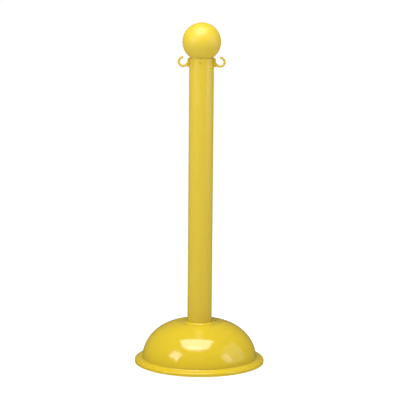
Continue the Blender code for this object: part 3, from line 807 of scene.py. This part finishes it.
# ---- Chain hooks --------------------------------------------------------------------------
@dataclass
class ChainHook:
    """One-piece moulded hook: saddle pad, open ring and split snap-in stem, with soft edges."""

    lathe: Lathe
    sweep: WireSweep
    wire: float = 3.4 * MM
    ring: float = 13.6 * MM
    reach: float = 19.4 * MM
    ring_lift: float = 3.5 * MM
    start: float = 230.0
    end: float = 437.0
    swell: float = 1.25
    pad_height: float = 26.0 * MM
    pad_width: float = 20.0 * MM
    pad_lift: float = 1.5 * MM
    pad_top: float = 4.2 * MM
    pad_foot: float = 7.8 * MM
    pad_corner: float = 5.0 * MM
    saddle_gap: float = 0.3 * MM
    hole_radius: float = 3.2 * MM
    hole_drop: float = 15.0 * MM
    post_wall: float = 3.5 * MM
    stem_inside: float = 5.5 * MM
    slot: float = 1.2 * MM
    voxel: float = 0.36 * MM
    rounding: int = 5

    def path(self) -> tuple[list[Point], list[float]]:
        """Work out the wire's path and its thickness along it.

        Returns:
            The points, in the frame of the hook's hole, and the swell at each.
        """
        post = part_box("post_tube")[1].x
        centre = (post + self.reach, self.ring_lift)
        ring = arc(centre, self.ring, self.start, self.end, 56)
        back = math.radians(self.start)
        root_x = post + self.saddle_gap + 0.4 * self.pad_foot
        length = (root_x - ring[0][0]) / math.sin(back)
        root = (root_x, ring[0][1] - length * math.cos(back))
        stalk = run(root, ring[0], 8)[:-1]
        tip_step = math.degrees(self.wire / self.ring)
        turns = [math.radians(9 * i) for i in range(1, 10)]
        tip = [arc(centre, self.ring, self.end + tip_step * math.sin(t), 0, 1)[0] for t in turns]
        thin = [max(math.cos(t), 0.16) for t in turns]
        swell = [self.swell - (self.swell - 1) * i / 8 for i in range(8)]
        return stalk + ring + tip, swell + [1.0] * len(ring) + thin

    def pad(self, finish: bpy.types.Material) -> bpy.types.Mesh:
        """Make the saddle pad: a rounded plate, cut to a ring that thickens downwards.

        Args:
            finish: the material.

        Returns:
            The pad's mesh, in the frame of the hook's hole.
        """
        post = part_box("post_tube")[1].x
        half_width = self.pad_width / 2 - self.pad_corner
        half_height = self.pad_height / 2 - self.pad_corner
        outline = []
        for y, z, turn in ((1, 1, 0), (-1, 1, 90), (-1, -1, 180), (1, -1, 270)):
            corner = (y * half_width, z * half_height + self.pad_lift)
            outline += arc(corner, self.pad_corner, turn, turn + 90, 10)
        body = bmesh.new()
        rim = [body.verts.new((post / 2, y, z)) for y, z in outline]
        face = body.faces.new(rim)
        moved = bmesh.ops.extrude_face_region(body, geom=[face])["geom"]
        verts = [g for g in moved if isinstance(g, bmesh.types.BMVert)]
        bmesh.ops.translate(body, verts=verts, vec=(post, 0.0, 0.0))
        bmesh.ops.recalc_face_normals(body, faces=body.faces)
        plate = as_mesh(body, "plate")
        inner = post + self.saddle_gap
        top = self.pad_lift + self.pad_height / 2
        foot = self.pad_lift - self.pad_height / 2
        past = self.pad_corner
        section = [(inner, top + past), (inner + self.pad_top, top + past), (inner + self.pad_top, top),
                   (inner + self.pad_foot, foot), (inner + self.pad_foot, foot - past),
                   (inner, foot - past), (inner, top + past)]
        return carve(plate, self.lathe.turn(section, finish, 240), "INTERSECT")

    def stem(self, finish: bpy.types.Material) -> bpy.types.Mesh:
        """Make the snap-in stem, with its barb inside the post and its slot.

        Args:
            finish: the material.

        Returns:
            The stem's mesh, in the frame of the hook's hole.
        """
        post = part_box("post_tube")[1].x
        end = post - self.post_wall - self.stem_inside
        length = post + self.saddle_gap + self.pad_top / 2 - end
        neck = self.hole_radius - 0.5 * MM
        barb = self.hole_radius - 0.2 * MM
        step = self.stem_inside - 0.3 * MM
        section = [(0.0, length), (neck, length), (neck, step), (barb, step - 0.3 * MM),
                   (barb, step / 2), (neck * 0.75, 0.0), (0.0, 0.0)]
        rod = self.lathe.turn(section, finish, 40)
        rod.transform(Matrix.Translation((end, 0, 0)) @ Matrix.Rotation(math.pi / 2, 4, "Y"))
        reach = self.post_wall + self.stem_inside
        middle = post - self.post_wall / 2 - self.post_wall - self.stem_inside
        return carve(rod, block((2 * reach, self.slot, 4 * self.hole_radius),
                                Matrix.Translation((middle, 0, 0))))

    def blend_together(self, meshes: list[bpy.types.Mesh], finish: bpy.types.Material) -> bpy.types.Mesh:
        """Fuse overlapping meshes into one skin whose corners are rounded like a moulding's.

        Args:
            meshes: closed meshes that overlap. They are removed afterwards.
            finish: the material.

        Returns:
            The one mesh.
        """
        body = bmesh.new()
        for mesh in meshes:
            body.from_mesh(mesh)
            bpy.data.meshes.remove(mesh)
        item = bpy.data.objects.new("joined", as_mesh(body, "joined"))
        bpy.context.scene.collection.objects.link(item)
        remesh = item.modifiers.new("Skin", "REMESH")
        remesh.mode = "VOXEL"
        remesh.voxel_size = self.voxel
        soften = item.modifiers.new("Soften", "SMOOTH")
        soften.factor = 0.5
        soften.iterations = self.rounding
        made = settle(item)
        made.materials.clear()
        made.materials.append(finish)
        made.polygons.foreach_set("material_index", [0] * len(made.polygons))
        made.shade_smooth()
        return made

    def build(self) -> None:
        """Make the hook once, and put it on both sides of the post."""
        finish = HOOK_PLASTIC.material()
        path, swell = self.path()
        wire = self.sweep.sweep(path, swell, self.wire, finish)
        skin = self.blend_together([self.pad(finish), wire, self.stem(finish)], finish)
        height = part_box("post_tube")[1].z - self.hole_drop
        for side, turn in (("right", 0.0), ("left", math.pi)):
            mesh = skin.copy()
            mesh.transform(Matrix.Translation((0.0, 0.0, height)) @ Matrix.Rotation(turn, 4, "Z"))
            place_piece(f"hook_{side}_moulding", mesh, f"hook_{side}", "hook_yellow",
                        f"chain_hook_{side}")
        bpy.data.meshes.remove(skin)


# ---- Base ---------------------------------------------------------------------------------
@dataclass
class DomedBase:
    """Domed shell with a flat brim, a socket for the post and bosses for the plate's screws."""

    lathe: Lathe
    ring_of: RingOf
    foot_radius: float = 179.5 * MM
    foot_height: float = 15.0 * MM
    rise: float = 119.0 * MM
    side_power: float = 0.747
    crown_power: float = 1.1
    fillet: float = 4.0 * MM
    wall: float = 3.5 * MM
    crown_radius: float = 80.0 * MM
    crown_ease: float = 14.0 * MM
    collar_rise: float = 2.4 * MM
    collar_width: float = 8.5 * MM
    socket_gap: float = 0.4 * MM
    edge_height: float = 11.0 * MM
    edge_round: float = 4.5 * MM
    rim: float = 0.6 * MM
    crease: float = 0.8 * MM
    floor_wall: float = 3.5 * MM
    ledge_width: float = 17.0 * MM
    ledge: float = 4.0 * MM
    seat_gap: float = 0.3 * MM
    boss_radius: float = 5.5 * MM
    boss_height: float = 11.0 * MM
    pilot_radius: float = 2.3 * MM
    steps: int = 256

    def outline(self, turn: float, inset: float) -> Point:
        """Give a point of the dome's outline.

        Args:
            turn: how far up it lies, from 0 at the foot to a right angle at the crown.
            inset: how far inside the outer skin.

        Returns:
            The point.
        """
        x = (self.foot_radius - inset) * math.cos(turn) ** self.side_power
        z = self.foot_height + (self.rise - inset) * math.sin(turn) ** self.crown_power
        return x, z

    def turn_at(self, radius: float, inset: float) -> float:
        """Find where on the dome's outline a radius is reached."""
        return math.acos((radius / (self.foot_radius - inset)) ** (1 / self.side_power))

    def crown(self, radius: float, inset: float) -> Point:
        """Give a point of the crown, where the dome eases to level towards the collar.

        Args:
            radius: how far from the axis it lies.
            inset: how far inside the outer skin.

        Returns:
            The point.
        """
        start = self.outline(self.turn_at(self.crown_radius, inset), inset)[1]
        before = self.outline(self.turn_at(self.crown_radius + self.crown_ease / 10, inset), inset)[1]
        slope = (start - before) / (self.crown_ease / 10)
        way = min(self.crown_radius - radius, self.crown_ease)
        return radius, start + slope * (way - way ** 2 / (2 * self.crown_ease))

    def profile(self) -> list[Point]:
        """Work out the section, from the socket over dome and brim and back inside.

        Returns:
            The points (x, z), from axis to axis.
        """
        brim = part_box("base_dome")[1].x
        post_low, post_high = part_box("post_tube")
        ledge_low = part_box("plate_seal")[1].z + self.seat_gap
        ledge_high = ledge_low + self.ledge
        socket = post_high.x + self.socket_gap
        socket_floor = post_low.z - self.seat_gap
        skirt = self.foot_radius - self.wall
        ledge_inner = skirt - self.ledge_width
        last = self.turn_at(self.crown_radius, 0.0)
        collar = socket + self.collar_width
        collar_base = self.crown(collar, 0.0)[1]
        bead = self.collar_width / 2
        points = [(0.0, socket_floor), (socket - MM, socket_floor), (socket, socket_floor + MM)]
        points += run((socket, socket_floor + 2 * MM), (socket, collar_base - MM), 6)
        points += [(socket + bead * (1 - math.cos(t)), collar_base + self.collar_rise * math.sin(t))
                   for t in (math.radians(9 * i) for i in range(1, 19))]
        points += arc((collar + self.crease, collar_base + self.crease), self.crease, 215, 262, 4)
        level = run((collar + 2 * MM, 0.0), (self.crown_radius, 0.0), 16)[:-1]
        points += [self.crown(r, 0.0) for r, _ in level]
        points += [self.outline(last * (1 - (i / 90) ** 1.1), 0.0) for i in range(91)]
        points += arc((self.foot_radius + self.fillet, self.foot_height + self.fillet * 0.7),
                      self.fillet, 186, 262, 8)
        points += arc((brim - self.edge_round, self.edge_height - self.edge_round),
                      self.edge_round, 78, 0, 12)
        points += arc((brim - self.rim, self.rim), self.rim, 0, -90, 4)
        ceiling = self.edge_height - self.wall
        points += [(brim - self.wall, 0.0), (brim - self.wall, ceiling - MM),
                   (brim - self.wall - MM, ceiling)]
        points += [(self.foot_radius + MM, ceiling), (self.foot_radius, ceiling - MM),
                   (self.foot_radius, 0.0), (skirt, 0.0)]
        points += [(skirt, ledge_low), (ledge_inner, ledge_low), (ledge_inner, ledge_high)]
        # Inside, the dome starts where its wall meets the ledge.
        way = (ledge_high - self.foot_height) / (self.rise - self.wall)
        first = math.asin(way ** (1 / self.crown_power))
        step = (self.turn_at(self.crown_radius, self.wall) - first) / 40
        points += [self.outline(first + step * i, self.wall) for i in range(41)]
        level = run((self.crown_radius, 0.0), (socket + self.wall, 0.0), 8)[1:]
        points += [self.crown(r, self.wall) for r, _ in level]
        under = socket_floor - self.floor_wall
        points += [(socket + self.wall, under), (0.0, under)]
        return points

    def rod_ring(self, radius: float, low: float, high: float,
                 finish: bpy.types.Material) -> bpy.types.Mesh:
        """Make one upright rod at each screw of the plate.

        Args:
            radius: a rod's radius.
            low: where the rods start.
            high: where they end.
            finish: the material.

        Returns:
            One mesh with all the rods.
        """
        rod = self.lathe.turn([(0.0, high), (radius, high), (radius, low), (0.0, low)], finish, 32)
        spots = [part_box(name) for name in screw_names()]
        circle = Vector((spots[0][0] + spots[0][1]) / 2).to_2d().length
        return self.ring_of.repeat(rod, len(spots), circle, finish)

    def build(self) -> None:
        """Make the shell with its bosses and pilot holes, and put it in place."""
        finish = BASE_PLASTIC.material()
        mesh = self.lathe.turn(self.profile(), finish, self.steps)
        ledge_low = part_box("plate_seal")[1].z + self.seat_gap
        boss_high = ledge_low + self.ledge + self.boss_height
        bosses = self.rod_ring(self.boss_radius, ledge_low + self.ledge / 2, boss_high, finish)
        mesh = carve(mesh, bosses, "UNION")
        pilot_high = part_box(screw_names()[0])[1].z + self.seat_gap
        mesh = carve(mesh, self.rod_ring(self.pilot_radius, 0.0, pilot_high, finish))
        place_piece("base_shell", mesh, "base", "moulded_yellow", "base_dome")


def screw_names() -> list[str]:
    """List the CAD nodes of the plate's screws."""
    return sorted(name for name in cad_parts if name.startswith("plate_screw_"))


@dataclass
class Underside:
    """What closes the base from below: beaded plate, seal, screws, fill plug and its washer."""

    lathe: Lathe
    ring_of: RingOf
    rubber: bpy.types.Material = field(default_factory=lambda: Rubber().material())
    plate_plastic: bpy.types.Material = field(default_factory=lambda: PLATE_PLASTIC.material())
    plate: float = 3.0 * MM
    edge: float = 0.5 * MM
    beads: tuple[float, float] = (54.0 * MM, 144.0 * MM)
    bead_width: float = 6.0 * MM
    screw_hole: float = 2.5 * MM
    plug_gap: float = 0.4 * MM
    seat_gap: float = 0.3 * MM
    shank: float = 2.0 * MM
    thread: float = 1.4 * MM
    thread_depth: float = 0.35 * MM
    point: float = 2.2 * MM
    plain: float = 0.6 * MM
    recess: float = 1.0 * MM
    recess_span: float = 0.62
    plug_wall: float = 2.5 * MM
    chamfer: float = 0.4 * MM
    steps: int = 200

    def screw_circle(self) -> float:
        """Read the radius of the circle of screws off the CAD."""
        low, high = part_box(screw_names()[0])
        return ((low + high) / 2).to_2d().length

    def screw_holes(self, low: float, high: float) -> bpy.types.Mesh:
        """Make the tool for the screws' clearance holes.

        Args:
            low: where it starts.
            high: where it ends.

        Returns:
            One mesh with a rod at each screw.
        """
        section = [(0.0, high), (self.screw_hole, high), (self.screw_hole, low), (0.0, low)]
        rod = self.lathe.turn(section, self.plate_plastic, 32)
        return self.ring_of.repeat(rod, len(screw_names()), self.screw_circle(), self.plate_plastic)

    def plug_centre(self) -> Vector:
        """Find the middle of the fill plug, on the floor."""
        low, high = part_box("fill_plug")
        return Vector(((low.x + high.x) / 2, (low.y + high.y) / 2, 0.0))

    def plug_radius(self) -> float:
        """Read the radius of the plug's body off the CAD, above its washer.

        Returns:
            The radius.
        """
        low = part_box("plug_washer")[1].z
        centre = self.plug_centre()
        points = [v.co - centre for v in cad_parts["fill_plug"].data.vertices if v.co.z > low]
        return max(p.to_2d().length for p in points)

    def build_plate(self) -> None:
        """Make the plate with its two stiffening beads and its holes."""
        low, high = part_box("bottom_plate")
        under = high.z - self.plate
        radius = high.x
        points = [(0.0, high.z)] + arc((radius - self.edge, high.z - self.edge), self.edge, 90, 0, 4)
        points += arc((radius - self.edge, under + self.edge), self.edge, 0, -90, 4)
        for bead in reversed(self.beads):
            points += [(bead + self.bead_width * (0.5 - i / 12),
                        under - (under - low.z) * math.sin(math.pi * i / 12) ** 0.7) for i in range(13)]
        points.append((0.0, under))
        mesh = self.lathe.turn(points, self.plate_plastic, self.steps)
        mesh = carve(mesh, self.screw_holes(low.z - MM, high.z + MM))
        bore = self.plug_radius() + self.plug_gap
        tool = self.lathe.turn([(0.0, high.z + MM), (bore, high.z + MM), (bore, 0.0), (0.0, 0.0)],
                               self.plate_plastic, 72)
        tool.transform(Matrix.Translation(self.plug_centre()))
        place_piece("plate_moulding", carve(mesh, tool), "base", "moulded_yellow", "bottom_plate")

    def build_seal(self) -> None:
        """Make the flat ring seal with its screw holes."""
        low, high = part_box("plate_seal")
        inner = min(v.co.to_2d().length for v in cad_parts["plate_seal"].data.vertices)
        mesh = self.lathe.turn(flat_ring(inner, high.x, low.z, high.z), self.rubber, self.steps)
        mesh = carve(mesh, self.screw_holes(low.z - MM, high.z + MM))
        place_piece("seal_ring", mesh, "base", "seal_rubber", "plate_seal")

    def build_screws(self) -> None:
        """Make one threaded pan-head screw and repeat it round the plate."""
        finish = ZincPlate().material()
        low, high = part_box(screw_names()[0])
        head = (high.x - low.x) / 2
        head_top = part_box("bottom_plate")[1].z - self.plate - self.seat_gap
        tip = high.z
        depth = head_top - low.z
        crest = self.shank
        root = crest - self.thread_depth
        points = [(0.0, tip), (0.3 * MM, tip - 0.4 * MM), (root, tip - self.point)]
        thread_top = tip - self.point - 0.4 * MM
        for turn in range(int((thread_top - head_top - self.plain) / self.thread)):
            # One thread: root, out along the flank to the crest, across it and back in.
            z = thread_top - turn * self.thread
            points += [(root, z), (crest, z - 0.45 * MM), (crest, z - 0.6 * MM), (root, z - 1.05 * MM)]
        points += [(root, head_top)] + arc((head - 0.3 * MM, head_top - 0.3 * MM), 0.3 * MM, 90, 0, 3)
        points += [(head * math.cos(t), head_top - 0.4 * depth - 0.6 * depth * math.sin(t))
                   for t in (math.radians(9 * i) for i in range(1, 10))]
        points.append((0.0, low.z))
        mesh = self.lathe.turn(points, finish, 28)
        for turn in (0.0, math.pi / 2):
            place = Matrix.Translation((0, 0, low.z)) @ Matrix.Rotation(turn, 4, "Z")
            mesh = carve(mesh, block((self.recess_span * 2 * head, self.recess, 1.2 * depth), place))
        ring = self.ring_of.repeat(mesh, len(screw_names()), self.screw_circle(), finish)
        place_piece("plate_screws", ring, "base", "screw_steel", *screw_names())

    def build_plug(self) -> None:
        """Make the hollow push-in plug with its coin slot, and the washer under its flange."""
        low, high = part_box("fill_plug")
        washer_low, washer_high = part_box("plug_washer")
        flange = (high.x - low.x) / 2
        flange_top = washer_low.z - self.seat_gap
        body = self.plug_radius()
        wall = self.plug_wall
        round_off = (flange_top - low.z) / 2
        points = [(0.0, flange_top), (body - wall - MM, flange_top), (body - wall, flange_top + MM)]
        points += [(body - wall, high.z - self.chamfer), (body - wall + self.chamfer, high.z)]
        points += arc((body - wall / 2, high.z - wall / 2), wall / 2, 90, 0, 6)
        points += [(body, flange_top + 4 * MM), (body, flange_top), (flange - self.chamfer, flange_top)]
        points += [(flange, flange_top - self.chamfer)]
        points += arc((flange - round_off, low.z + round_off), round_off, 0, -90, 6)
        points += [(flange * 0.82, low.z), (0.0, low.z)]
        plug = self.lathe.turn(points, self.plate_plastic, 96)
        coin_slot = block((body * 1.5, wall, flange_top - low.z), Matrix.Translation((0, 0, low.z)))
        plug = carve(plug, coin_slot)
        plug.transform(Matrix.Translation(self.plug_centre()))
        place_piece("plug_moulding", plug, "plug", "moulded_yellow", "fill_plug")
        outer = (washer_high.x - washer_low.x) / 2
        section = flat_ring(body + self.seat_gap, outer, washer_low.z, washer_high.z)
        washer = self.lathe.turn(section, self.rubber, 96)
        washer.transform(Matrix.Translation(self.plug_centre()))
        place_piece("washer_ring", washer, "plug", "seal_rubber", "plug_washer")

    def build(self) -> None:
        """Make all the pieces of the underside."""
        self.build_plate()
        self.build_seal()
        self.build_screws()
        self.build_plug()


def flat_ring(inner: float, outer: float, low: float, high: float) -> list[Point]:
    """Work out the section of a flat ring with slightly rounded edges.

    Args:
        inner: its inner radius.
        outer: its outer radius.
        low: its underside.
        high: its top.

    Returns:
        The points, back to the first.
    """
    edge = 0.25 * MM
    points = arc((outer - edge, high - edge), edge, 90, 0, 3)
    points += arc((outer - edge, low + edge), edge, 0, -90, 3)
    points += arc((inner + edge, low + edge), edge, -90, -180, 3)
    points += arc((inner + edge, high - edge), edge, 180, 90, 3)
    points.append(points[0])
    return points


def dress_ballast() -> None:
    """Give the sand fill, which stays as the CAD made it, its own finish."""
    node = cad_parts["ballast"]
    finish = PackedSand().material()
    for slot in node.material_slots:
        slot.material = finish
    LOG.info("ballast: dressed as %s", finish.name)


# ---- Studio -------------------------------------------------------------------------------
@dataclass(frozen=True)
class Softbox:
    """A rectangular light that hangs at a place and faces a point."""

    name: str
    place: tuple[float, float, float]
    aim: tuple[float, float, float]
    width: float
    depth: float
    radiance: float
    roll: float = 0.0

    def build(self) -> None:
        """Hang the light."""
        light = bpy.data.lights.new(self.name, "AREA")
        light.shape = "RECTANGLE"
        light.size = self.width
        light.size_y = self.depth
        light.energy = self.radiance * math.pi * self.width * self.depth
        lamp = bpy.data.objects.new(self.name, light)
        lamp.location = self.place
        facing = (Vector(self.aim) - lamp.location).to_track_quat("-Z", "Y").to_matrix()
        lamp.rotation_euler = (facing @ Matrix.Rotation(math.radians(self.roll), 3, "Z")).to_euler()
        bpy.context.scene.collection.objects.link(lamp)


def around(bearing: float, elevation: float, distance: float) -> tuple[float, float, float]:
    """Give a point round the origin.

    Args:
        bearing: degrees from the front, to the right.
        elevation: degrees up from the floor.
        distance: how far away.

    Returns:
        The point.
    """
    turn, lift = math.radians(bearing), math.radians(elevation)
    flat = distance * math.cos(lift)
    return math.sin(turn) * flat, -math.cos(turn) * flat, distance * math.sin(lift)


@dataclass
class Studio:
    """Pale floor, soft lights and a long-lens camera at chest height."""

    camera_bearing: float = 6.6
    camera_distance: float = 5.0
    camera_height: float = 1.265
    camera_pitch: float = 8.545
    camera_roll: float = 0.475
    lens_mm: float = 146.18
    lens_shift: float = -0.0012
    floor_radius: float = 400.0
    room_light: float = 0.12
    boxes: tuple[Softbox, ...] = (
        Softbox("overhead softbox", (-0.27, -1.4, 4.6), (-0.27, -1.4, 0.0), 3.9, 2.75, 7.0),
        Softbox("upper front softbox", (-0.2, -1.55, 2.5), (0.0, 0.0, 1.0), 1.3, 0.6, 5.0),
        Softbox("left softbox", around(-47, 30, 3.2), (0.0, 0.0, 0.1), 1.2, 1.15, 5.6, -14.0),
        Softbox("right softbox", around(66, 20, 3.2), (0.0, 0.0, 0.1), 0.8, 1.4, 3.0, 20.0),
        Softbox("right fill", around(90, 26, 3.4), (0.0, 0.0, 0.5), 2.6, 2.8, 0.95),
        Softbox("left strip light", around(-41, 20, 3.2), (0.0, 0.0, 0.9), 0.2, 1.0, 3.6),
    )

    def build_floor(self) -> None:
        """Lay the pale floor, which glows a little so that it stays pale far behind the object."""
        body = bmesh.new()
        bmesh.ops.create_circle(body, cap_ends=True, segments=96, radius=self.floor_radius)
        mesh = as_mesh(body, "floor")
        made = bpy.data.materials.new("pale studio floor")
        made.use_nodes = True
        feed(made.node_tree.nodes["Principled BSDF"], {
            "Base Color": linear("#5E5E5E"), "Roughness": 0.9, "Specular IOR Level": 0.0,
            "Emission Color": linear("#FFFFFF"), "Emission Strength": 1.0})
        mesh.materials.append(made)
        floor = bpy.data.objects.new("floor", mesh)
        floor.visible_glossy = False
        bpy.context.scene.collection.objects.link(floor)

    def build_camera(self) -> None:
        """Set up the camera, slightly above the ball and looking a little down."""
        turn = math.radians(self.camera_bearing)
        pitch = math.radians(self.camera_pitch)
        roll = math.radians(self.camera_roll)
        spot = Vector((math.sin(turn) * self.camera_distance, -math.cos(turn) * self.camera_distance,
                       self.camera_height))
        data = bpy.data.cameras.new("camera")
        data.sensor_width = 36.0
        data.lens = self.lens_mm
        data.shift_x = self.lens_shift
        camera = bpy.data.objects.new("camera", data)
        aim = Matrix.Rotation(turn, 4, "Z") @ Matrix.Rotation(math.pi / 2 - pitch, 4, "X")
        camera.matrix_world = Matrix.Translation(spot) @ aim @ Matrix.Rotation(roll, 4, "Z")
        bpy.context.scene.collection.objects.link(camera)
        bpy.context.scene.camera = camera

    def build(self) -> None:
        """Set up floor, surroundings, lights and camera."""
        self.build_floor()
        world = bpy.data.worlds.new("studio")
        world.use_nodes = True
        seen = add_node(world.node_tree, "ShaderNodeLightPath").outputs["Is Camera Ray"]
        strength = add_node(world.node_tree, "ShaderNodeMapRange", {
            "Value": seen, "To Min": self.room_light, "To Max": 1.0})
        feed(world.node_tree.nodes["Background"],
             {"Color": linear("#FFFFFF"), "Strength": strength.outputs["Result"]})
        bpy.context.scene.world = world
        bpy.context.scene.view_settings.view_transform = "Standard"
        for box in self.boxes:
            box.build()
        self.build_camera()


# ---- Whole scene --------------------------------------------------------------------------
def main() -> None:
    """Set up the studio, then build every sub-assembly in order."""
    logging.basicConfig(level=logging.INFO, format="%(name)s: %(message)s")
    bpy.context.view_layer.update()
    lathe, sweep, ring_of = Lathe(), WireSweep(), RingOf()
    Studio().build()
    builders: list[Callable[[], None]] = [
        BallTop(lathe).build, PostTube(lathe).build, ChainHook(lathe, sweep).build,
        DomedBase(lathe, ring_of).build, Underside(lathe, ring_of).build, dress_ballast]
    for build in builders:
        build()


if __name__ == "__main__":
    main()
